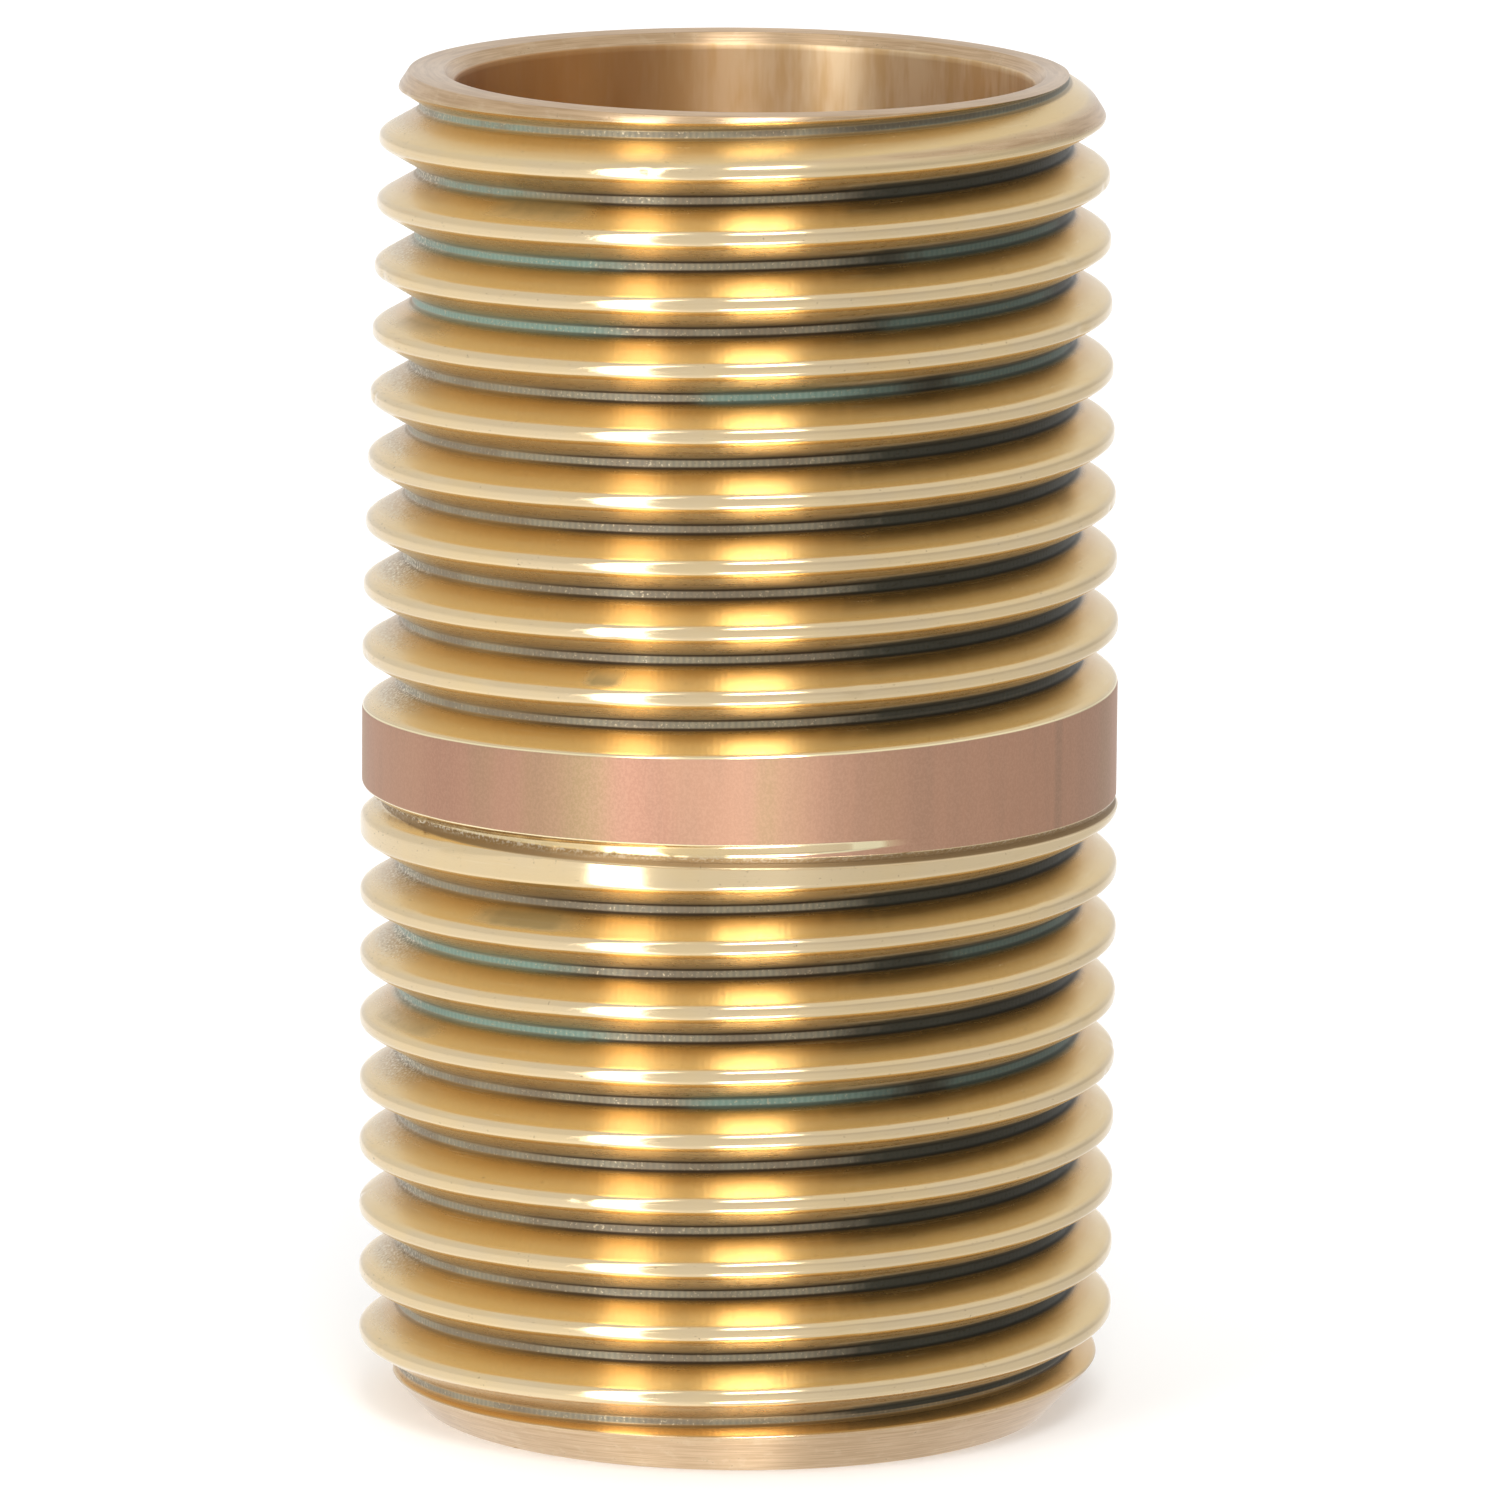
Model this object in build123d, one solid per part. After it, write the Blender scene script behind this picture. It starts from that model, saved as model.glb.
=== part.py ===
from build123d import *
import math
import os

# A half-inch brass pipe nipple, in millimetres. The origin is the centre of the lower end face,
# and +Z runs up the bore. Angles are in degrees, anticlockwise from +X as seen from above.
# The real nipple is one piece of pipe. It is modelled as three zones of full wall that meet
# face to face on flat planes across the plain band.

length = 38.1                     # 1 1/2 in over the two end faces
pipe_radius = 21.336 / 2          # mill surface of half-inch pipe
wall_thickness = 2.55
bore_chamfer = 0.33               # 45 degree break at each mouth
band_bottom = 18.10               # plane where the lower threaded end meets the band
band_top = 19.75                  # plane where the band meets the upper threaded end

# Thread form: 60 degree pipe thread, 14 turns to the inch, crests and roots cut flat.
pitch = 25.4 / 14
flank_angle = 30.0                # each flank from the plane across the axis
thread_depth = 0.60 * pitch
crest_share = 0.60                # of the two flats together, the rest is the root flat
groove_overshoot = 0.15           # the groove tool stands this far outside the crests
end_overrun = 1.2                 # and runs this far past an end face
join_overlap = 0.01               # turns that two stretches of one groove share

# Upper end: taper thread, crests cut off by the mill surface near the band.
taper_per_side = 1 / 32           # 1 in 16 on the diameter
pitch_radius_at_face = 19.264 / 2
upper_last_root = 20.80           # height of the groove's middle where it reaches full depth
upper_full_depth_angle = 180.0
upper_runout_turns = 0.45
upper_face_radius = 9.42
upper_chamfer_angle = 33.0        # from the axis

# Lower end: parallel thread, crests just outside the mill surface.
crest_burr = 0.04
lower_last_root = 16.98           # height of the groove's middle where it starts to fade
lower_full_depth_angle = 90.0
lower_runout_turns = 0.55
lower_face_radius = 8.95
lower_chamfer_angle = 43.0        # from the axis
relief_bottom = 17.40             # shallow ring between the first crest and the band
relief_floor = 17.52
relief_top = 17.72
relief_depth = 0.12

bore_radius = pipe_radius - wall_thickness
mouth_radius = bore_radius + bore_chamfer
flank_slope = math.tan(math.radians(flank_angle))
flat_total = pitch - 2 * thread_depth * flank_slope
root_flat = (1 - crest_share) * flat_total
lower_crest_radius = pipe_radius + crest_burr


def cone_radius(height):
    """Radius of the upper end's tapered crest cone."""
    return pitch_radius_at_face + thread_depth / 2 + (length - height) * taper_per_side


def turned(outline):
    """Spin a closed outline of (radius, height) points about the bore axis."""
    points = [(radius, 0, height) for radius, height in outline]
    return revolve(make_face(Polyline(*points, close=True)), Axis.Z)


def groove(crest_radius, height, angle, turns, gain_per_turn):
    """Right-hand thread groove that climbs from an angle and a height.

    Its section is the full one, and gain_per_turn moves it outwards as it climbs.
    """
    half_root = root_flat / 2
    half_mouth = half_root + (thread_depth + groove_overshoot) * flank_slope
    section = make_face(Polyline(
        (crest_radius - thread_depth, 0, height - half_root),
        (crest_radius - thread_depth, 0, height + half_root),
        (crest_radius + groove_overshoot, 0, height + half_mouth),
        (crest_radius + groove_overshoot, 0, height - half_mouth),
        close=True,
    ))
    cone = math.atan(gain_per_turn / pitch)
    path = Helix(
        pitch / math.cos(cone), turns * pitch, crest_radius,
        center=(0, 0, height), cone_angle=math.degrees(cone),
    )
    return Rotation(0, 0, angle) * sweep(section, path=path, is_frenet=True)


def upper_threaded_end():
    """Tapered end: chamfered blank, then the groove from its run-out up past the end face."""
    chamfer_slope = math.tan(math.radians(upper_chamfer_angle))
    cone_start = length - (pipe_radius - cone_radius(length)) / taper_per_side
    chamfer_start = length - (cone_radius(length) - upper_face_radius) / (chamfer_slope - taper_per_side)
    part = turned([
        (bore_radius, band_top),
        (pipe_radius, band_top),
        (pipe_radius, cone_start),
        (cone_radius(chamfer_start), chamfer_start),
        (upper_face_radius, length),
        (mouth_radius, length),
        (bore_radius, length - bore_chamfer),
    ])
    start_radius = cone_radius(upper_last_root)
    full_turns = (length + end_overrun - upper_last_root) / pitch
    part -= groove(start_radius, upper_last_root, upper_full_depth_angle, full_turns, -taper_per_side * pitch)
    return part - groove(
        start_radius + thread_depth,
        upper_last_root - upper_runout_turns * pitch,
        upper_full_depth_angle - 360 * upper_runout_turns,
        upper_runout_turns + join_overlap,
        -thread_depth / upper_runout_turns,
    )


def centre_band():
    """Plain stretch of pipe between the threads, with the mill surface left on it."""
    return turned([
        (bore_radius, band_bottom),
        (pipe_radius, band_bottom),
        (pipe_radius, band_top),
        (bore_radius, band_top),
    ])


def lower_threaded_end():
    """Parallel end: chamfered blank, then the groove from below the end face to its run-out."""
    chamfer_slope = math.tan(math.radians(lower_chamfer_angle))
    chamfer_top = (lower_crest_radius - lower_face_radius) / chamfer_slope
    part = turned([
        (bore_radius, bore_chamfer),
        (mouth_radius, 0),
        (lower_face_radius, 0),
        (lower_crest_radius, chamfer_top),
        (lower_crest_radius, relief_bottom),
        (pipe_radius - relief_depth, relief_floor),
        (pipe_radius, relief_top),
        (pipe_radius, band_bottom),
        (bore_radius, band_bottom),
    ])
    full_turns = math.ceil((lower_last_root + end_overrun) / pitch)
    for turn in range(full_turns):
        height = lower_last_root - (full_turns - turn) * pitch
        part -= groove(lower_crest_radius, height, lower_full_depth_angle, 1, 0)
    fade = thread_depth / lower_runout_turns
    return part - groove(
        lower_crest_radius - fade * join_overlap,
        lower_last_root - join_overlap * pitch,
        lower_full_depth_angle - 360 * join_overlap,
        lower_runout_turns + join_overlap,
        fade,
    )


os.makedirs("parts", exist_ok=True)
for build in (upper_threaded_end, centre_band, lower_threaded_end):
    part = build()
    export_step(part, f"parts/{build.__name__}.step")
    print(build.__name__, len(part.solids()), "solid", round(part.volume, 1), "mm3")
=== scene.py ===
import math
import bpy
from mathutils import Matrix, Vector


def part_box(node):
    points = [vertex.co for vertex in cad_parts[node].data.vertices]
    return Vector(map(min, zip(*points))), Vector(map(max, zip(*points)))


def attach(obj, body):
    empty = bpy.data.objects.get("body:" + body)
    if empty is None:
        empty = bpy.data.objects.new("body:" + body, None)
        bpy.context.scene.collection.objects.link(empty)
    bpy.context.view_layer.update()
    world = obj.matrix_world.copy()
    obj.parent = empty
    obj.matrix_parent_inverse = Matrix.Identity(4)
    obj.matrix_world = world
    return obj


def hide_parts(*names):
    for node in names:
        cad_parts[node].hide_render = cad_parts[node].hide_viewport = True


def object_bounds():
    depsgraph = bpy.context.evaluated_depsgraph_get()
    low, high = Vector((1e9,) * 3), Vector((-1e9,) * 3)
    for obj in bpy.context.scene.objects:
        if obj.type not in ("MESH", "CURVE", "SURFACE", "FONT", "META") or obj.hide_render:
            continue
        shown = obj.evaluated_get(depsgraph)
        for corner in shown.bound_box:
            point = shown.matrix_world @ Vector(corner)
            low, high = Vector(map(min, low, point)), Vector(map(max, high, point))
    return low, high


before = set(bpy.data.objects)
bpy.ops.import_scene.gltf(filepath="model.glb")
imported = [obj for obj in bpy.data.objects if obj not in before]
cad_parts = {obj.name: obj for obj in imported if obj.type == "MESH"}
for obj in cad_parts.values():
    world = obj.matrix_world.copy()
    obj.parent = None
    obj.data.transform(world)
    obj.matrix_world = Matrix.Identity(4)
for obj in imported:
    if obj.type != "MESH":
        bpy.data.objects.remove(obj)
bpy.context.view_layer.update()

from types import SimpleNamespace
import bmesh
import bpy
import numpy as np
from mathutils import Matrix, Vector

mm = 0.001
fullTurn = 2 * math.pi

# the pipe and its threads, in millimetres as they are made; heights from the lower end face
pipe = {
    "length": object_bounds()[1][2] / mm,
    "radius": 10.668,          # mill surface
    "boreRadius": 8.118,
    "mouthBreak": 0.33,        # 45 degree break at each mouth
    "edgeBreak": 0.025,        # how far the turned corners are rounded back
    "columns": 360,
}
thread = {
    "pitch": 25.4 / 14,
    "depthShare": 0.60,        # of the pitch
    "rootFlatShare": 0.40,     # of the two flats together
    "flankAngle": 30.0,
    "crestRound": 0.17,
    "rootRound": 0.030,
    "wander": 0.012,           # unevenness of the cut
    "swarfAngle": 188, "swarfSpread": 14,     # degrees; where dust has gathered in the grooves
    "dentSize": (0.12, 0.34), "dentDepth": (0.01, 0.045),
}
pitch = thread["pitch"]
depth = thread["depthShare"] * pitch
flankSlope = math.tan(math.radians(thread["flankAngle"]))
rootHalf = thread["rootFlatShare"] * (pitch - 2 * depth * flankSlope) / 2
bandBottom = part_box("centre_band")[0].z / mm
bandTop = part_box("centre_band")[1].z / mm


def smoothMin(a, b, reach):
    # the lower of two values, with the corner between them rounded over the reach
    blend = np.clip(0.5 + 0.5 * (b - a) / reach, 0, 1)
    return b + (a - b) * blend - reach * blend * (1 - blend)


def uneven(angle, seed, cycles, height):
    # a sum of sines of random phase along an angle, mostly between -height and height
    rng = np.random.default_rng(seed)
    total = np.zeros_like(angle)
    for cycle in cycles:
        total = total + rng.uniform(0.5, 1) * np.sin(angle * cycle + rng.uniform(0, fullTurn))
    return total * height / math.sqrt(len(cycles))


upperEnd = {
    "crestAtFace": 19.264 / 2 + depth / 2,
    "taper": 1 / 32,
    "rootHeight": 20.80,       # middle of the groove where it reaches full depth
    "fullAngle": math.pi,
    "fadeTurns": 0.45,         # below that angle it fades out
    "fadeSign": -1,
    "faceRadius": 9.42,
    "chamferAngle": 33.0,
    "seed": 3,
    "dents": 150,
    "stains": [                # angle, half width, height, half height, strength
        (217, 42, 32.0, 0.8, 1.0), (214, 48, 33.7, 0.8, 0.9), (281.5, 26, 30.5, 0.7, 0.9),
        (316, 30, 32.5, 0.8, 1.0), (320, 30, 34.4, 0.7, 0.9), (328, 28, 30.6, 0.7, 1.0),
        (216, 26, 35.5, 0.6, 0.5), (216, 34, 37.3, 0.6, 0.45), (322, 36, 37.2, 0.8, 0.8),
    ],
    # soot and painted shade: the wide patch at 324 degrees darkens every groove on the right, the side away
    # from the light
    "soot": [(324, 52, 29.0, 14.0, 1.0), (200, 26, 34.0, 1.6, 0.35)],
    "smudges": [
        (234, 13, 35.3, 0.4, 0.9), (248.5, 4, 22.4, 0.3, 1.0),
        (203, 16, 31.4, 0.3, 0.6), (346, 8, 27.3, 0.5, 0.8),
    ],
    "climbTurns": 0.16,        # over which the mill surface's edge climbs across the last crest
}
lowerEnd = {
    "crestRadius": 10.708,
    "rootHeight": 16.98,
    "fullAngle": math.pi / 2,
    "fadeTurns": 0.55,         # above that angle it fades out
    "fadeSign": 1,
    "faceRadius": 8.95,
    "chamferAngle": 43.0,
    "reliefBottom": 17.40,
    "reliefFloor": 17.52,
    "reliefTop": 17.72,
    "reliefDepth": 0.12,
    "burrHeight": 17.66, "burrReach": 0.14, "burr": 0.07,
    "seed": 8,
    "dents": 150,
    "stains": [
        (214, 46, 12.1, 0.8, 1.0), (208, 48, 14.0, 0.8, 0.9), (281, 26, 10.6, 0.7, 0.9),
        (328, 30, 10.9, 0.7, 1.0), (325, 28, 14.4, 0.7, 0.9),
    ],
    # soot and painted shade: the wide patch at 324 degrees darkens every groove on the right, the side away
    # from the light
    "soot": [(324, 52, 9.0, 14.0, 1.0), (200, 26, 12.4, 1.4, 0.35)],
    "smudges": [(234, 13, 15.4, 0.4, 0.9), (203, 16, 11.6, 0.3, 0.6), (346, 8, 7.5, 0.5, 0.8)],
    "burrAngle": 205, "burrSpread": 50,       # where the flecks are thickest, in degrees
}


def upperCone(height):
    return upperEnd["crestAtFace"] + (pipe["length"] - height) * upperEnd["taper"]


def upperChamfer(height):
    slope = math.tan(math.radians(upperEnd["chamferAngle"]))
    return upperEnd["faceRadius"] + (pipe["length"] - height) * slope


def lowerChamfer(height):
    return lowerEnd["faceRadius"] + height * math.tan(math.radians(lowerEnd["chamferAngle"]))


def upperBlank(height):
    # the turned blank: mill surface, then the taper cone, then the chamfer cone
    turned = smoothMin(upperCone(height), pipe["radius"], 0.01)
    return smoothMin(turned, upperChamfer(height), thread["crestRound"])


def lowerBlank(height):
    # chamfer cone, crest cylinder, the shallow ring below the band, then the mill surface
    crest = smoothMin(lowerChamfer(height), lowerEnd["crestRadius"], thread["crestRound"])
    bottom, floor = lowerEnd["reliefBottom"], pipe["radius"] - lowerEnd["reliefDepth"]
    ring = np.interp(
        height,
        [bottom - 0.02, bottom, lowerEnd["reliefFloor"], lowerEnd["reliefTop"]],
        [lowerEnd["crestRadius"] + 0.05, lowerEnd["crestRadius"], floor, pipe["radius"]],
    )
    return smoothMin(crest, ring, 0.015)


def grooveRoot(end, turnPosition):
    # radius of the groove's floor; it moves outwards over the fade until it leaves the blank
    height = end["rootHeight"] + pitch * (turnPosition - end["fullAngle"]) / fullTurn
    past = end["fadeSign"] * (turnPosition - end["fullAngle"]) / (fullTurn * end["fadeTurns"])
    if "taper" in end:
        height = np.maximum(height, end["rootHeight"])    # the fade starts from one fixed radius
        crest = upperCone(height)
    else:
        crest = end["crestRadius"]
    rough = uneven(turnPosition, end["seed"], [3.1, 7.3, 17.7], thread["wander"])
    return crest - depth + depth * np.clip(past, 0, 1.2) + np.abs(rough)


def outerRadius(end, blank, angle, height):
    # the blank, less a V groove with a flat floor round its nearest helix
    first = end["rootHeight"] + pitch * (angle - end["fullAngle"]) / fullTurn
    turn = np.round((height - first) / pitch)
    offset = height - first - turn * pitch
    root = grooveRoot(end, angle + fullTurn * turn)
    rise = np.abs(offset) - rootHalf
    wall = -smoothMin(-rise, np.zeros_like(rise), thread["rootRound"]) / flankSlope
    return smoothMin(blank(height), root + wall, thread["crestRound"]), offset


def edgeOffset(end, blank, turnPosition, side):
    # where a flank meets the blank, from repeated substitution
    middle = end["rootHeight"] + pitch * (turnPosition - end["fullAngle"]) / fullTurn
    root = grooveRoot(end, turnPosition)
    offset = np.full_like(turnPosition, rootHalf + depth * flankSlope)
    for repeat in range(6):
        offset = rootHalf + (blank(middle + side * offset) - root) * flankSlope
        offset = np.clip(offset, rootHalf + 0.06, pitch / 2 - 0.06)
    return offset


def halfRows(edge):
    # offsets from the groove's middle to the crest's middle, closer together at the corners
    flat = np.full_like(edge, rootHalf)
    low = flat + np.minimum(thread["rootRound"], 0.2 * (edge - rootHalf))
    nose = np.minimum(0.11, 0.4 * (edge - rootHalf))
    rest = pitch / 2 - edge
    return [
        0 * flat, 0.7 * flat, flat, low,
        low + 0.4 * (edge - nose - low), edge - nose, edge - 0.66 * nose, edge - 0.33 * nose, edge,
        edge + 0.28 * rest, edge + 0.62 * rest,
    ]


def threadedSurface(end, blank, lowest, highest):
    # columns round the pipe; rows follow the groove's helix between two level heights
    angles = np.linspace(0, fullTurn, pipe["columns"], endpoint=False)
    start = end["rootHeight"] - pitch * end["fullAngle"] / fullTurn
    firstTurn = math.floor((lowest - start) / pitch) - 2
    lastTurn = math.ceil((highest - start) / pitch) + 1
    rows = []
    for turn in range(firstTurn, lastTurn + 1):
        position = angles + fullTurn * turn
        middle = start + pitch * position / fullTurn
        below = halfRows(edgeOffset(end, blank, position, -1))
        above = halfRows(edgeOffset(end, blank, position, 1))
        rows += [middle - pitch / 2] + [middle - offset for offset in below[:0:-1]]
        rows += [middle + offset for offset in above]
    perTurn = 2 * len(below)
    heights = np.clip(np.stack(rows, axis=1), lowest, highest)
    grid = np.broadcast_to(angles[:, None], heights.shape)
    return grid, heights, perTurn


def closedShell(name, angles, radii, heights, perTurn, helixRows, attributes):
    # a grid closed both ways; the helix rows join themselves one turn higher at the last column
    columns, rows = radii.shape
    x = radii * np.cos(angles) * mm
    y = radii * np.sin(angles) * mm
    points = np.stack([x, y, heights * mm], axis=-1).reshape(-1, 3)
    index = np.arange(columns * rows).reshape(columns, rows)
    climbed = np.arange(rows)
    climbed[:helixRows] = np.minimum(climbed[:helixRows] + perTurn, helixRows - 1)
    beside = np.vstack([index[1:], index[0][climbed][None, :]])
    up = np.roll(index, -1, axis=1)
    besideUp = np.roll(beside, -1, axis=1)
    besideUp[-1, -1] = index[0, 0]
    quads = np.stack([index, beside, besideUp, up], axis=-1).reshape(-1, 4)
    mesh = bpy.data.meshes.new(name)
    mesh.from_pydata(points, [], quads)
    for key, values in attributes.items():
        layer = mesh.attributes.new(key, "FLOAT", "POINT")
        layer.data.foreach_set("value", np.ascontiguousarray(values, np.float32).reshape(-1))
    work = bmesh.new()
    work.from_mesh(mesh)
    bmesh.ops.remove_doubles(work, verts=work.verts, dist=2e-7)
    bmesh.ops.dissolve_degenerate(work, edges=work.edges, dist=1e-8)
    work.to_mesh(mesh)
    work.free()
    mesh.shade_smooth()
    mesh.set_sharp_from_angle(angle=math.radians(50))
    piece = bpy.data.objects.new(name, mesh)
    bpy.context.scene.collection.objects.link(piece)
    print(name, len(mesh.vertices), "points", len(mesh.polygons), "faces")
    return piece


def innerRows(outer, face, side, plane):
    # from the outer corner of the end face, over it, in through the mouth and down the bore to the plane
    c, bore = pipe["edgeBreak"], pipe["boreRadius"]
    mouth = bore + pipe["mouthBreak"]
    turned = [
        (outer - 0.25 * c, 0.12 * c), (outer - c, 0), ((outer + mouth) / 2, 0), (mouth + c, 0),
        (mouth, 0.12 * c), (mouth - 0.7 * c, 0.7 * c),
        (bore + 0.7 * c, pipe["mouthBreak"] - 0.7 * c), (bore, pipe["mouthBreak"] + 0.2 * c), (bore, 0.5),
    ]
    length = abs(face - plane)
    turned += [(bore, length * share) for share in (0.1, 0.3, 0.5, 0.7, 0.9, 1.0)]
    radii = np.stack([np.broadcast_to(radius, outer.shape) for radius, _ in turned], axis=1)
    heights = np.array([face - side * drop for _, drop in turned])
    faced = np.where(np.arange(len(turned)) < 8, 1.0, 0.0)
    return radii, np.broadcast_to(heights, radii.shape), np.broadcast_to(faced, radii.shape)


def stainedSurface(marks, angles, heights):
    # soft patches: middle angle and half width in degrees, middle height and half height, strength
    total = np.zeros_like(heights)
    for middle, halfWidth, height, halfHeight, strength in marks:
        apart = np.abs((np.degrees(angles) - middle + 180) % 360 - 180) / halfWidth
        slope = pitch * (np.degrees(angles) - middle) / 360      # the patch follows the thread
        rise = np.abs(heights - height - slope) / halfHeight
        total = np.maximum(total, strength * np.clip(1.6 - 1.6 * np.maximum(apart, rise), 0, 1))
    return total


def finishShares(end, blank, angles, heights, radii, offset):
    # how deep in the groove a point is, from 0 on the crest to 1 on the floor, and the rest the finish needs
    dusty = np.clip(1.5 - np.abs(np.degrees(angles) - thread["swarfAngle"]) / thread["swarfSpread"], 0, 1)
    groove = np.clip((blank(heights) - radii) / depth, 0, 1)
    return {
        "groove": groove,
        "crest": np.clip(1 - groove * 40, 0, 1),
        "across": offset,
        "stain": stainedSurface(end["stains"], angles, heights),
        "soot": stainedSurface(end["soot"], angles, heights),
        "smudge": stainedSurface(end["smudges"], angles, heights),
        "swarf": dusty * np.clip(uneven(heights, end["seed"] + 7, [2.1, 3.7], 0.6) + 0.7, 0, 1),
    }


def facedShare(full, chamfer, groove):
    # 1 where the chamfer was turned and the thread hasn't cut it away
    return np.clip((full - chamfer) / 0.08, 0, 1) * np.clip(1 - groove * 8, 0, 1)


def dented(end, angles, heights, radii, shares):
    # small dents knocked into the crests: round hollows at random places
    rng = np.random.default_rng(end["seed"] + 40)
    total = np.zeros_like(heights)
    low, high = heights.min(), heights.max()
    for number in range(end["dents"]):
        angle, height = rng.uniform(0, fullTurn), rng.uniform(low, high)
        size, deep = rng.uniform(*thread["dentSize"]), rng.uniform(*thread["dentDepth"])
        apart = (np.mod(angles - angle + math.pi, fullTurn) - math.pi) * pipe["radius"]
        total = np.maximum(total, deep * np.exp(-(apart ** 2 + (heights - height) ** 2) / (size ** 2)))
    return radii - total * np.clip(1 - shares["groove"] * 3, 0, 1) * (1 - shares["mill"])


def closedEnd(name, rim, side, plane, grid, shares, perTurn, helixRows):
    # the threaded outside, then the rows over the end face and down the bore, which follow it
    face = pipe["length"] if side > 0 else 0.0
    inRadii, inHeights, inFaced = innerRows(rim, face, side, plane)
    angles, radii, heights = grid
    inner = {key: 0 * inRadii for key in shares}
    inner["faced"] = inFaced

    def withInner(outside, inside):
        return np.concatenate([outside, inside if side > 0 else inside[:, ::-1]], axis=1)

    return closedShell(
        name,
        withInner(angles, np.repeat(angles[:, :1], inRadii.shape[1], axis=1)),
        withInner(radii, inRadii),
        withInner(heights, inHeights),
        perTurn, helixRows,
        {key: withInner(shares[key], inner[key]) for key in shares},
    )


def makeUpperEnd():
    top = pipe["length"]
    angles, heights, perTurn = threadedSurface(upperEnd, upperBlank, bandTop, top - pipe["edgeBreak"])
    radii, offset = outerRadius(upperEnd, upperBlank, angles, heights)
    shares = finishShares(upperEnd, upperBlank, angles, heights, radii, offset)
    # the pipe's own surface is left only below the last groove, up to where the cone passes under it
    turn = (angles - upperEnd["fullAngle"]) / fullTurn
    climb = np.clip(1 - (turn + upperEnd["fadeTurns"]) / upperEnd["climbTurns"], 0, 1)
    lastGroove = upperEnd["rootHeight"] + pitch * (turn + climb) + uneven(angles, 5, [19, 43, 71], 0.02)
    shares["mill"] = np.clip(0.5 + (lastGroove - heights) / 0.5, 0, 1)   # 0.5 on the line itself
    shares["faced"] = facedShare(upperCone(heights), upperChamfer(heights), shares["groove"])
    radii = dented(upperEnd, angles, heights, radii, shares)
    rim = outerRadius(upperEnd, upperBlank, angles[:, 0], np.full(pipe["columns"], top))[0]
    grid = angles, radii, heights
    return closedEnd("upper_thread_shell", rim, 1, bandTop, grid, shares, perTurn, radii.shape[1])


def makeLowerEnd():
    split = lowerEnd["reliefBottom"] - 0.05
    angles, heights, perTurn = threadedSurface(lowerEnd, lowerBlank, pipe["edgeBreak"], split)
    helixRows = heights.shape[1]
    level = np.linspace(split, bandBottom, 26)[1:]
    heights = np.concatenate([heights, np.broadcast_to(level, (pipe["columns"], len(level)))], axis=1)
    angles = np.repeat(angles[:, :1], heights.shape[1], axis=1)
    radii, offset = outerRadius(lowerEnd, lowerBlank, angles, heights)
    shares = finishShares(lowerEnd, lowerBlank, angles, heights, radii, offset)
    shares["mill"] = np.clip((heights - lowerEnd["reliefTop"] + 0.02) / 0.03, 0, 1)
    shares["faced"] = facedShare(lowerEnd["crestRadius"], lowerChamfer(heights), shares["groove"])
    # ragged flecks left along the ring where the die stopped
    ring = np.clip(1 - np.abs(heights - lowerEnd["burrHeight"]) / lowerEnd["burrReach"], 0, 1)
    ragged = np.abs(uneven(angles, 21, [37, 53, 89, 113, 151], 1.0)) ** 2
    apart = np.abs(np.degrees(angles) - lowerEnd["burrAngle"]) / lowerEnd["burrSpread"]
    thick = 0.35 + 0.65 * np.clip(1 - apart, 0, 1)
    radii = radii + lowerEnd["burr"] * ring * ragged * thick
    shares["swarf"] = np.maximum(shares["swarf"], ring * thick)
    # nothing stands out further than the crests, or than the mill surface above them
    widest = np.where(heights > lowerEnd["reliefBottom"], pipe["radius"], lowerEnd["crestRadius"])
    radii = dented(lowerEnd, angles, heights, np.minimum(radii, widest), shares)
    rim = outerRadius(lowerEnd, lowerBlank, angles[:, 0], np.zeros(pipe["columns"]))[0]
    grid = angles, radii, heights
    return closedEnd("lower_thread_shell", rim, -1, bandBottom, grid, shares, perTurn, helixRows)


band = {"outerRows": 6, "innerRows": 4}


def makeBand():
    # a plain ring: the outer rows climb, the inner rows come back down
    angles = np.linspace(0, fullTurn, pipe["columns"], endpoint=False)
    outside = np.linspace(bandBottom, bandTop, band["outerRows"])
    inside = np.linspace(bandTop, bandBottom, band["innerRows"])
    rows = band["outerRows"] + band["innerRows"]
    heights = np.broadcast_to(np.concatenate([outside, inside]), (pipe["columns"], rows))
    outer = np.arange(rows) < band["outerRows"]
    radii = np.where(outer, pipe["radius"], pipe["boreRadius"]) + 0 * heights
    return closedShell("band_shell", np.repeat(angles[:, None], rows, axis=1), radii, heights, 0, 0, {})


upperPiece = makeUpperEnd()
lowerPiece = makeLowerEnd()
bandPiece = makeBand()
for piece, node, slotName in (
    (upperPiece, "upper_threaded_end", "cut_brass"),
    (bandPiece, "centre_band", "mill_surface_brass"),
    (lowerPiece, "lower_threaded_end", "cut_brass"),
):
    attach(piece, "root")
    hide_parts(node)
print("shells built")


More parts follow.
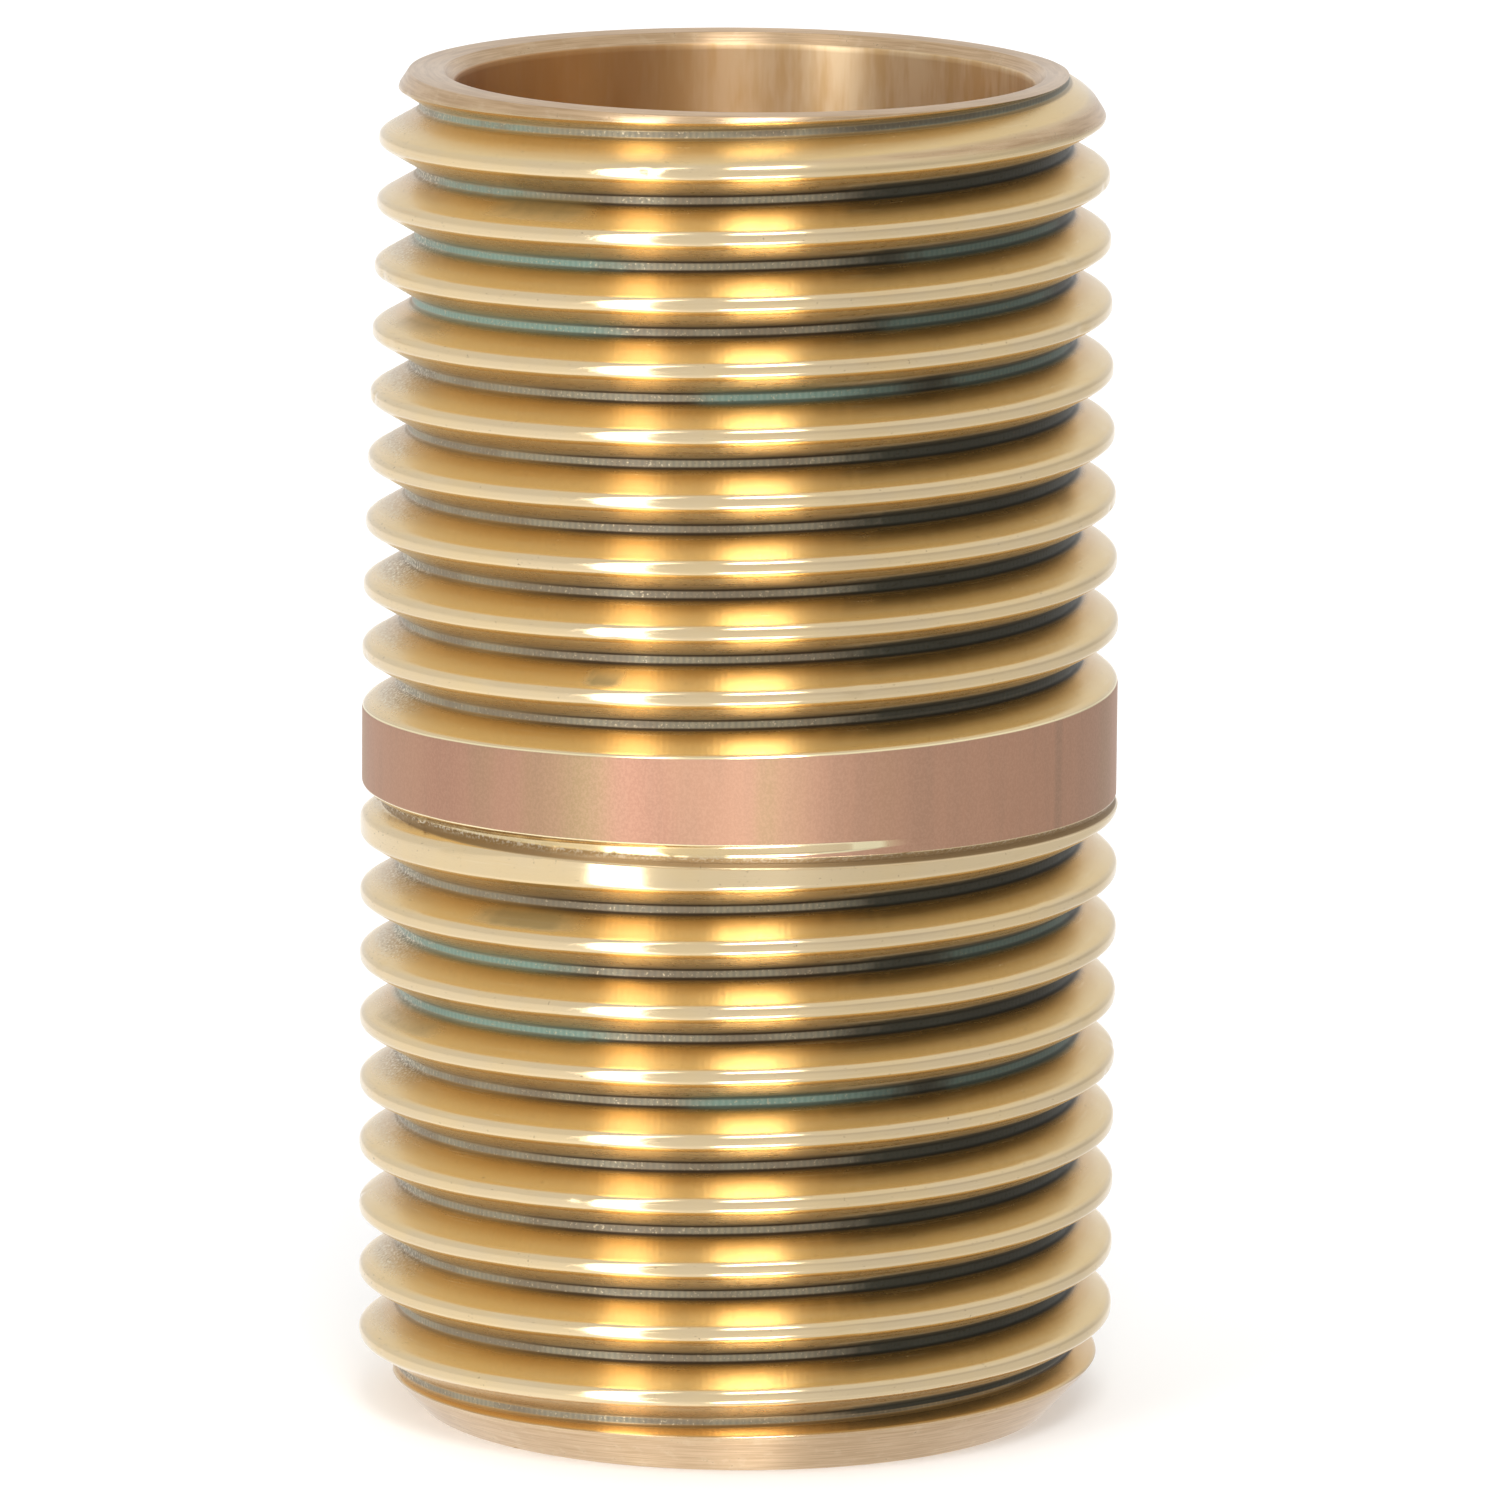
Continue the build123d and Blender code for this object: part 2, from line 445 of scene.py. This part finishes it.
class Amount:
    # a number that varies over a surface; using it in an expression adds Math nodes
    def __init__(self, sheet, socket):
        self.sheet = sheet
        self.socket = socket

    def maths(self, operation, first, second=None):
        inputs = {0: first} if second is None else {0: first, 1: second}
        return self.sheet.node("ShaderNodeMath", {"operation": operation}, inputs)

    def __add__(self, other): return self.maths("ADD", self, other)
    def __radd__(self, other): return self.maths("ADD", other, self)
    def __sub__(self, other): return self.maths("SUBTRACT", self, other)
    def __rsub__(self, other): return self.maths("SUBTRACT", other, self)
    def __mul__(self, other): return self.maths("MULTIPLY", self, other)
    def __rmul__(self, other): return self.maths("MULTIPLY", other, self)
    def __truediv__(self, other): return self.maths("DIVIDE", self, other)
    def __rtruediv__(self, other): return self.maths("DIVIDE", other, self)
    def __pow__(self, other): return self.maths("POWER", self, other)
    def __neg__(self): return self.maths("MULTIPLY", self, -1.0)
    def __abs__(self): return self.maths("ABSOLUTE", self)

    def highest(self, other): return self.maths("MAXIMUM", self, other)
    def lowest(self, other): return self.maths("MINIMUM", self, other)

    def step(self, low, high):
        # 0 below low and 1 above high, with a smooth change between; high may be the smaller
        settings = {"interpolation_type": "SMOOTHSTEP"}
        return self.sheet.node("ShaderNodeMapRange", settings, {0: self, 1: low, 2: high, 3: 0.0, 4: 1.0})

    def window(self, low, high, soft):
        # 1 between low and high, 0 outside
        return self.step(low - soft / 2, low + soft / 2) * self.step(high + soft / 2, high - soft / 2)


class NodeSheet:
    # one node tree and the few ways this script adds to it
    def __init__(self, tree):
        self.tree = tree

    def node(self, kind, settings, inputs, output=0):
        made = self.tree.nodes.new(kind)
        for key, value in settings.items():
            setattr(made, key, value)
        for key, value in inputs.items():
            if isinstance(value, Amount):
                self.tree.links.new(value.socket, made.inputs[key])
            else:
                made.inputs[key].default_value = value
        return Amount(self, made.outputs[output])

    def mixed(self, share, first, second):
        return self.node("ShaderNodeMix", {"data_type": "RGBA"}, {0: share, 6: first, 7: second}, 2)

    def vector(self, x, y, z):
        return self.node("ShaderNodeCombineXYZ", {}, {0: x, 1: y, 2: z})

    def noise(self, place, scale, detail=2.0, rough=0.5):
        return self.node(
            "ShaderNodeTexNoise", {"noise_dimensions": "3D"},
            {"Vector": place, "Scale": scale, "Detail": detail, "Roughness": rough},
        )

    def attribute(self, name):
        return self.node("ShaderNodeAttribute", {"attribute_name": name}, {}, "Fac")

    def feed(self, shader, inputs):
        for key, value in inputs.items():
            if isinstance(value, Amount):
                self.tree.links.new(value.socket, shader.inputs[key])
            else:
                shader.inputs[key].default_value = value


def newFinish(name):
    made = bpy.data.materials.new(name)
    made.use_nodes = True
    return made, NodeSheet(made.node_tree), made.node_tree.nodes["Principled BSDF"]


def places(sheet):
    # object coordinates in millimetres, the distance from the axis, and the unit circle round it
    place = sheet.node("ShaderNodeTexCoord", {}, {}, "Object")
    x, y, z = [sheet.node("ShaderNodeSeparateXYZ", {}, {0: place}, i) / mm for i in range(3)]
    away = (x * x + y * y) ** 0.5
    return x, y, z, away, x / away, y / away


def turnedAngle(sheet, across, along):
    return sheet.node("ShaderNodeMath", {"operation": "ARCTAN2"}, {0: across, 1: along})


toolMarks = {                  # the same on every surface of the pipe
    "bump": 0.30,
    "bumpHeight": 0.00001,
    "blur": 0.85,              # the reflection is drawn out across the marks
    "blurTurn": 0.25,
}


def feedMetal(sheet, shader, colour, metal, rough, height):
    bumped = {"Strength": toolMarks["bump"], "Distance": toolMarks["bumpHeight"], "Height": height}
    sheet.feed(shader, {
        "Base Color": colour, "Metallic": metal, "Roughness": rough,
        "Normal": sheet.node("ShaderNodeBump", {}, bumped),
        "Anisotropic": toolMarks["blur"], "Anisotropic Rotation": toolMarks["blurTurn"],
    })


boreLook = {
    "light": (0.80, 0.61, 0.38, 1),
    "dark": (0.70, 0.47, 0.235, 1),
    "shadedAmber": (0.50, 0.25, 0.085, 1),
    "roughness": 0.45,
}


def boreColour(sheet, z, east, north):
    # streaks down the bore, and on its left a darker amber: painted shade
    circle = sheet.vector(east, north, z * 0.02)
    wide = sheet.noise(circle, 6.0, 2.0)
    fine = sheet.noise(circle, 34.0, 2.0)
    colour = sheet.mixed((wide * 0.6 + fine * 0.4).step(0.38, 0.62), boreLook["dark"], boreLook["light"])
    return sheet.mixed(east.step(0.35, -0.60) * (0.55 + wide * 0.6), colour, boreLook["shadedAmber"])


def insideBore(away):
    return away.step(pipe["boreRadius"] + 0.06, pipe["boreRadius"] + 0.02)


millLook = {
    "salmon": (0.545, 0.312, 0.205, 1),
    "tan": (0.430, 0.300, 0.160, 1),
    "rose": (0.490, 0.265, 0.180, 1),
    "shade": (0.44, 0.27, 0.18, 1),
    "light": (0.70, 0.44, 0.31, 1),
    "roughness": 0.60,
    "dullness": 0.2,           # how far it is from bare metal
    "grain": 15.0,             # per millimetre
    "streaks": [               # angle, width, strength and tone of the streaks along the pipe
        (-114, 8, 0.9, "tan"), (-121, 6, 0.5, "tan"), (-86, 3, 0.5, "tan"), (-140, 10, 0.6, "rose"),
        (-33.5, 2, 0.8, "shade"), (-62, 5, 0.35, "shade"), (-20, 14, 0.4, "shade"), (60, 9, 0.7, "tan"),
    ],
}


def millSurface(sheet, x, y, z, east, north):
    # drawn pipe: broad streaks along the axis in salmon, tan and rose, with a fine grain
    circle = sheet.vector(east, north, z * 0.012)
    wide = sheet.noise(circle, 2.4, 1.0)
    fine = sheet.noise(circle, 17.0, 3.0, 0.6)
    grain = sheet.noise(sheet.vector(x, y, z * 0.8), millLook["grain"], 2.0, 0.7)
    angle = turnedAngle(sheet, north, east) * math.degrees(1)
    colour = sheet.mixed(wide.step(0.58, 0.66) * 0.4, millLook["salmon"], millLook["tan"])
    colour = sheet.mixed(wide.step(0.46, 0.36), colour, millLook["rose"])
    for middle, width, share, tone in millLook["streaks"]:
        streak = angle.window(middle - width / 2, middle + width / 2, width * 0.7)
        colour = sheet.mixed(streak * share, colour, millLook[tone])
    colour = sheet.mixed(fine.step(0.56, 0.34) * 0.26, colour, millLook["shade"])
    colour = sheet.mixed(grain.step(0.40, 0.62) * 0.22, colour, millLook["light"])
    return colour, grain * 0.9 + fine * 0.6


def makeMillFinish():
    made, sheet, shader = newFinish("mill surface brass")
    x, y, z, away, east, north = places(sheet)
    colour, height = millSurface(sheet, x, y, z, east, north)
    inside = insideBore(away)
    colour = sheet.mixed(inside, colour, boreColour(sheet, z, east, north))
    metal = 1.0 - (1.0 - inside) * millLook["dullness"]
    rough = millLook["roughness"] - inside * (millLook["roughness"] - boreLook["roughness"])
    feedMetal(sheet, shader, colour, metal, rough, height)
    return made


cutLook = {
    "brass": (0.77, 0.61, 0.38, 1),
    "gold": (0.80, 0.62, 0.36, 1),
    "flank": (0.85, 0.61, 0.26, 1),
    "deep": (0.64, 0.385, 0.125, 1),
    "under": (0.66, 0.54, 0.33, 1),
    "pale": (0.90, 0.77, 0.54, 1),
    "orange": (0.70, 0.42, 0.16, 1),
    "faced": (0.66, 0.47, 0.29, 1),
    "facedDark": (0.52, 0.35, 0.20, 1),
    "rootGrey": (0.27, 0.25, 0.185, 1),
    "rootBrown": (0.20, 0.145, 0.095, 1),
    "rootCornerShade": (0.030, 0.018, 0.010, 1),
    "grimeAndShade": (0.10, 0.055, 0.022, 1),
    "verdigris": (0.22, 0.335, 0.28, 1),
    "verdigrisPale": (0.40, 0.50, 0.43, 1),
    "smudge": (0.22, 0.16, 0.06, 1),
    "soot": (0.030, 0.030, 0.019, 1),
    "dust": (0.22, 0.20, 0.15, 1),
    "ringBrown": (0.30, 0.18, 0.075, 1),
    "fleck": (0.85, 0.78, 0.62, 1),
    "burr": (0.98, 0.86, 0.55, 1),
    "crestRoughness": 0.15,
    "flankRoughness": 0.25,
    "underRoughness": 0.28,
    "rootRoughness": 0.55,
    "facedRoughness": 0.32,
    "ringRoughness": 0.55,
    "chatterCycles": 331,
    "orangeBelow": 2.6, "orangeFull": 1.2,    # heights; the last flank is more orange
    "shallowFrom": 1.9, "shallowTo": 1.5,     # from an end face, where the chamfer cuts into the groove
}


def cutFields(sheet):
    # what the tones of the cut brass are made of: places, shares stored in the mesh, noises and masks
    f = SimpleNamespace()
    f.x, f.y, f.z, f.away, f.east, f.north = places(sheet)
    for name in ("groove", "across", "stain", "soot", "swarf", "smudge", "crest", "faced"):
        setattr(f, name, sheet.attribute(name))
    f.own = sheet.attribute("mill").step(0.48, 0.54)
    f.mill = f.own * f.crest.step(0.4, 0.7)
    f.inside = insideBore(f.away)
    # fine lines that follow the tool round the thread, and the marks its chatter left across them
    along = f.z * 0.2 + (f.across * 0.6 + f.away) * 8.0
    f.lines = sheet.noise(sheet.vector(f.x * 0.2, f.y * 0.2, along), 2.0, 3.0, 0.6)
    angle = turnedAngle(sheet, f.y, f.x) * cutLook["chatterCycles"]
    f.chatter = sheet.node("ShaderNodeMath", {"operation": "SINE"}, {0: angle}) * 0.5 + 0.5
    f.rings = sheet.noise(sheet.vector(f.x * 0.3, f.y * 0.3, f.z * 9.0 + f.away * 4.0), 1.8, 2.0, 0.6)
    place = sheet.vector(f.x, f.y, f.z)
    f.cloud = sheet.noise(place, 0.45, 2.0, 0.5)
    f.mottle = sheet.noise(place, 2.2, 3.0, 0.6)
    f.specks = sheet.noise(place, 13.0, 1.0, 0.5)
    f.under = f.across.step(-0.03, 0.03)                   # 1 on the flanks that face down
    # near the end faces the chamfers leave only the bottom of the groove
    half = pipe["length"] / 2
    shallow = abs(f.z - half).step(half - cutLook["shallowFrom"], half - cutLook["shallowTo"])
    shallow = shallow * f.groove.step(0.03, 0.12)
    side = abs(f.across)
    f.inRoot = side.step(rootHalf + 0.008, rootHalf - 0.055) * f.groove.step(0.85, 0.95).highest(shallow)
    # the root's corners, where painted shade goes
    f.corner = side.window(rootHalf - 0.030, rootHalf + 0.050, 0.05)
    f.corner = f.corner * f.groove.step(0.75, 0.9).highest(shallow * 0.7)
    f.nearRoot = side.step(rootHalf + 0.16, rootHalf + 0.02) * f.groove.step(0.6, 0.9)
    # the ring where the die stopped, below the band
    f.ringed = f.z.window(lowerEnd["reliefBottom"] + 0.02, lowerEnd["reliefTop"] - 0.02, 0.05)
    f.ragged = f.z.window(lowerEnd["reliefBottom"] + 0.05, lowerEnd["reliefTop"] + 0.08, 0.1)
    return f


def cleanTone(sheet, f):
    # bare brass with the tool's lines; darker and deeper in colour from the crests down the flanks: painted
    # shade
    colour = sheet.mixed(f.cloud.step(0.35, 0.7), cutLook["brass"], cutLook["gold"])
    colour = sheet.mixed(f.groove.step(0.02, 0.14) * 0.55, colour, cutLook["flank"])
    colour = sheet.mixed(f.groove.step(0.22, 0.85) * 0.92, colour, cutLook["deep"])
    # painted shading: the flanks that face down get a paler, greener tone of their own
    colour = sheet.mixed(f.under * f.groove.step(0.10, 0.30) * 0.8, colour, cutLook["under"])
    colour = sheet.mixed(f.lines.step(0.55, 0.8) * 0.30, colour, cutLook["pale"])
    colour = sheet.mixed(f.lines.step(0.42, 0.25) * 0.14, colour, cutLook["orange"])
    lastFlank = f.z.step(cutLook["orangeBelow"], cutLook["orangeFull"]) * f.groove.step(0.02, 0.2)
    colour = sheet.mixed(lastFlank * 0.7, colour, cutLook["orange"])
    facedTone = sheet.mixed(f.rings.step(0.30, 0.70), cutLook["facedDark"], cutLook["faced"])
    facedTone = sheet.mixed(f.mottle.step(0.52, 0.72) * 0.12, facedTone, cutLook["pale"])
    return sheet.mixed(f.faced, colour, facedTone)


def rootTone(sheet, f, stained):
    # the groove's floor: grey and brown, with verdigris where it's stained
    tone = sheet.mixed(f.chatter * 0.40 * f.mottle, cutLook["rootGrey"], cutLook["under"])
    tone = sheet.mixed(f.cloud.step(0.42, 0.6) * 0.5, tone, cutLook["rootBrown"])
    green = sheet.mixed(f.chatter * 0.3, cutLook["verdigris"], cutLook["verdigrisPale"])
    tone = sheet.mixed(stained, tone, green)
    return sheet.mixed(f.specks.step(0.62, 0.72) * 0.5, tone, cutLook["pale"])


def cutColour(sheet, f):
    # grime and painted shade climb the flanks from the root, unevenly, and further where the soot and shade
    # patches lie
    climb = f.groove + (f.cloud - 0.5) * 0.18 + (f.mottle - 0.5) * 0.06 + f.soot * f.under * 0.22
    grimeAndShade = climb.step(0.72, 1.02)
    lessShadeOnLeft = f.east.step(-0.35, -0.75)                    # less painted shade and grime on the left, the lit side
    colour = sheet.mixed(grimeAndShade * (0.80 - lessShadeOnLeft * 0.45), cleanTone(sheet, f), cutLook["grimeAndShade"])
    # painted shade: a dark line along the root's corners, weaker on the lit left
    colour = sheet.mixed(f.corner * (0.85 - lessShadeOnLeft * 0.50), colour, cutLook["rootCornerShade"])
    stained = (f.stain + (f.mottle - 0.5) * 0.9 * f.stain).step(0.2, 0.7)
    colour = sheet.mixed(f.inRoot, colour, rootTone(sheet, f, stained))
    colour = sheet.mixed(stained * f.nearRoot * (1.0 - f.inRoot) * 0.45, colour, cutLook["verdigris"])
    smudge = f.smudge * f.groove.step(0.04, 0.35)
    smudged = (smudge + (f.cloud - 0.5) * smudge + (f.mottle - 0.5) * smudge * 0.6).step(0.05, 0.95)
    colour = sheet.mixed(smudged * 0.75, colour, cutLook["smudge"])
    # soot and painted shade: the grooves and the root turn near black where the patches lie, most on the
    # right, away from the light
    sootAndShadeShare = (f.soot + (f.mottle - 0.5) * 0.4).step(0.25, 0.75)
    sootAndShadeShare = sootAndShadeShare * f.groove.step(0.82 - f.under * 0.32, 1.0 - f.under * 0.22)
    sootAndShadeShare = sootAndShadeShare.highest(f.soot.step(0.15, 0.85) * f.inRoot * 0.95)
    colour = sheet.mixed(sootAndShadeShare * (0.92 - stained * 0.30), colour, cutLook["soot"])
    # swarf: dust in the grooves and bright flecks; and the ring below the band painted brown
    flecks = f.swarf * f.specks.step(0.50, 0.62) * f.groove.step(0.15, 0.5).highest(f.ragged)
    colour = sheet.mixed(f.swarf * f.groove.step(0.2, 0.6) * 0.40, colour, cutLook["dust"])
    colour = sheet.mixed(f.ringed * (0.80 + f.swarf * 0.1), colour, cutLook["ringBrown"])
    colour = sheet.mixed(flecks * 0.8, colour, cutLook["fleck"])
    pitted = f.specks.step(0.33, 0.26) * (f.mottle.step(0.50, 0.66) * 0.6 + f.swarf)
    colour = sheet.mixed(pitted.lowest(1.0) * 0.7, colour, cutLook["grimeAndShade"])
    # dirt and painted shade both make the metal duller and rougher
    dirtAndShade = (grimeAndShade * 0.20).highest(smudged * 0.5).highest(f.inRoot * 0.9).highest(f.corner * 0.6)
    dirtAndShade = dirtAndShade.highest(sootAndShadeShare * 0.8).highest(f.swarf * f.groove * 0.5)
    return colour, dirtAndShade


def cutRoughness(f, dirtAndShade):
    crest, flank = cutLook["crestRoughness"], cutLook["flankRoughness"]
    facing = flank - crest + f.under * (cutLook["underRoughness"] - flank)
    rough = crest + f.groove.step(0.05, 0.3) * facing
    rough = rough + (f.lines - 0.5) * 0.08 + (f.mottle - 0.5) * 0.06
    rough = rough + dirtAndShade * (cutLook["rootRoughness"] - flank)
    rough = rough.highest(f.faced * cutLook["facedRoughness"]).highest(f.mill * millLook["roughness"])
    return rough.highest(f.inside * boreLook["roughness"]).highest(f.ringed * cutLook["ringRoughness"])


def makeCutFinish():
    made, sheet, shader = newFinish("cut brass")
    f = cutFields(sheet)
    colour, dirtAndShade = cutColour(sheet, f)
    # the pipe's own surface above and below the band, and along its edge a bright line, part worn burr and
    # part painted highlight
    millTone, millHeight = millSurface(sheet, f.x, f.y, f.z, f.east, f.north)
    colour = sheet.mixed(f.mill, colour, millTone)
    colour = sheet.mixed(f.own * f.crest.window(0.05, 0.5, 0.1), colour, cutLook["burr"])
    colour = sheet.mixed(f.inside, colour, boreColour(sheet, f.z, f.east, f.north))
    brightSpecks = f.inRoot * f.specks.step(0.60, 0.72)
    metal = (1.0 - dirtAndShade * 0.85 * (1.0 - brightSpecks)) * (1.0 - f.mill * millLook["dullness"])
    rooted = f.inRoot.highest(f.under * f.groove.step(0.3, 0.6) * 0.3)
    height = f.lines * (0.25 + f.groove * 0.25) + f.mottle * 0.15
    height = height + (f.chatter * 0.7 + f.specks * 0.8) * rooted + f.faced * f.rings * 2.5
    height = height + f.mill * (millHeight - height)
    feedMetal(sheet, shader, colour, metal, cutRoughness(f, dirtAndShade), height)
    return made


cutFinish = makeCutFinish()
millFinish = makeMillFinish()
for piece in (upperPiece, lowerPiece):
    piece.data.materials.append(cutFinish)
bandPiece.data.materials.append(millFinish)
print("finishes made")


studio = {
    "floorReach": 3.0,
    "floorColour": (0.80, 0.80, 0.80, 1),
    "floorGlow": 0.24,
    # levels; the angles are in degrees, 0 ahead and positive to the right, or above the horizon
    "leftLevel": 1.04,         # paper round the object, seen from its left
    "rightLevel": 0.74, "rightFrom": -10, "rightTo": 45, "behindFrom": 179, "behindTo": 125,
    "aheadDip": 0.16, "dipFrom": -24, "dipTo": 6,
    "nearBoost": 0.14, "nearFrom": -24, "nearTo": -44,     # the paper close by is brighter
    "overhead": 0.84,
    "darkSide": 0.60, "darkTop": 30, "darkBottom": 12,     # the unlit side of the room
    "stripFrom": -45.5, "stripTo": -29.5, "stripLevel": 4.6, "stripFar": 3.0,
    "boxFrom": -5.0, "boxTo": 20.0, "boxLow": 41.0, "boxHigh": 62.0, "boxLevel": 11.0,
}


def makeFloor():
    reach = studio["floorReach"]
    mesh = bpy.data.meshes.new("floor")
    corners = [(-reach, -reach, 0), (reach, -reach, 0), (reach, reach, 0), (-reach, reach, 0)]
    mesh.from_pydata(corners, [], [(0, 1, 2, 3)])
    floor = bpy.data.objects.new("floor", mesh)
    bpy.context.scene.collection.objects.link(floor)
    made, sheet, shader = newFinish("floor paper")
    sheet.feed(shader, {
        "Base Color": studio["floorColour"], "Roughness": 0.9, "Specular IOR Level": 0.1,
        "Emission Color": (1, 1, 1, 1), "Emission Strength": studio["floorGlow"],
    })
    mesh.materials.append(made)
    # the brass sees the lit surroundings below it, so the paper itself is left out of its reflections
    floor.visible_glossy = False
    floor.visible_diffuse = False
    floor.visible_shadow = False


def makeSurroundings():
    # brightness by direction: paper below, a dim side of the room, one tall strip and one box light
    world = bpy.data.worlds.new("studio")
    bpy.context.scene.world = world
    world.use_nodes = True
    sheet = NodeSheet(world.node_tree)
    towards = sheet.node("ShaderNodeTexCoord", {}, {}, "Generated")
    x, y, z = [sheet.node("ShaderNodeSeparateXYZ", {}, {0: towards}, i) for i in range(3)]
    turned = turnedAngle(sheet, x, -y) * math.degrees(1)
    raised = sheet.node("ShaderNodeMath", {"operation": "ARCSINE"}, {0: z}) * math.degrees(1)
    toRight = turned.step(studio["rightFrom"], studio["rightTo"])
    toRight = toRight * turned.step(studio["behindFrom"], studio["behindTo"])
    below = studio["leftLevel"] + toRight * (studio["rightLevel"] - studio["leftLevel"])
    below = below - turned.window(studio["dipFrom"], studio["dipTo"], 14) * studio["aheadDip"]
    below = below * (1.0 + raised.step(studio["nearFrom"], studio["nearTo"]) * studio["nearBoost"])
    dim = toRight * turned.step(175, 130) * raised.step(studio["darkTop"], studio["darkBottom"])
    above = studio["overhead"] - dim * (studio["overhead"] - studio["darkSide"])
    level = above + raised.step(2, -6) * (below - above)
    strip = turned.window(studio["stripFrom"], studio["stripTo"], 3.0) * abs(raised).step(66, 58)
    box = turned.window(studio["boxFrom"], studio["boxTo"], 7.0)
    box = box * abs(raised).window(studio["boxLow"], studio["boxHigh"], 6.0)
    tall = studio["stripFar"] + abs(raised).step(42, 28) * (studio["stripLevel"] - studio["stripFar"])
    level = level + strip * (tall - level)
    level = level + box * (studio["boxLevel"] - level)
    background = world.node_tree.nodes["Background"]
    sheet.feed(background, {"Color": (1, 1, 1, 1), "Strength": level})


view = {
    "target": (0.00030, 0, 0.01876),
    "distance": 0.3777,
    "elevation": 10.555,
    "roll": 0.479,
    "lens": 320.6,
    "sensor": 36.0,
}


def makeCamera():
    camera = bpy.data.cameras.new("camera")
    camera.sensor_width = view["sensor"]
    camera.lens = view["lens"]
    holder = bpy.data.objects.new("camera", camera)
    bpy.context.scene.collection.objects.link(holder)
    elevation = math.radians(view["elevation"])
    away = Vector((0, -math.cos(elevation), math.sin(elevation)))
    holder.matrix_world = (
        Matrix.Translation(Vector(view["target"]) + view["distance"] * away)
        @ Matrix.Rotation(math.radians(90) - elevation, 4, "X")
        @ Matrix.Rotation(math.radians(view["roll"]), 4, "Z")
    )
    bpy.context.scene.camera = holder
    bpy.context.scene.view_settings.view_transform = "Standard"


makeFloor()
makeSurroundings()
makeCamera()
print("studio ready")
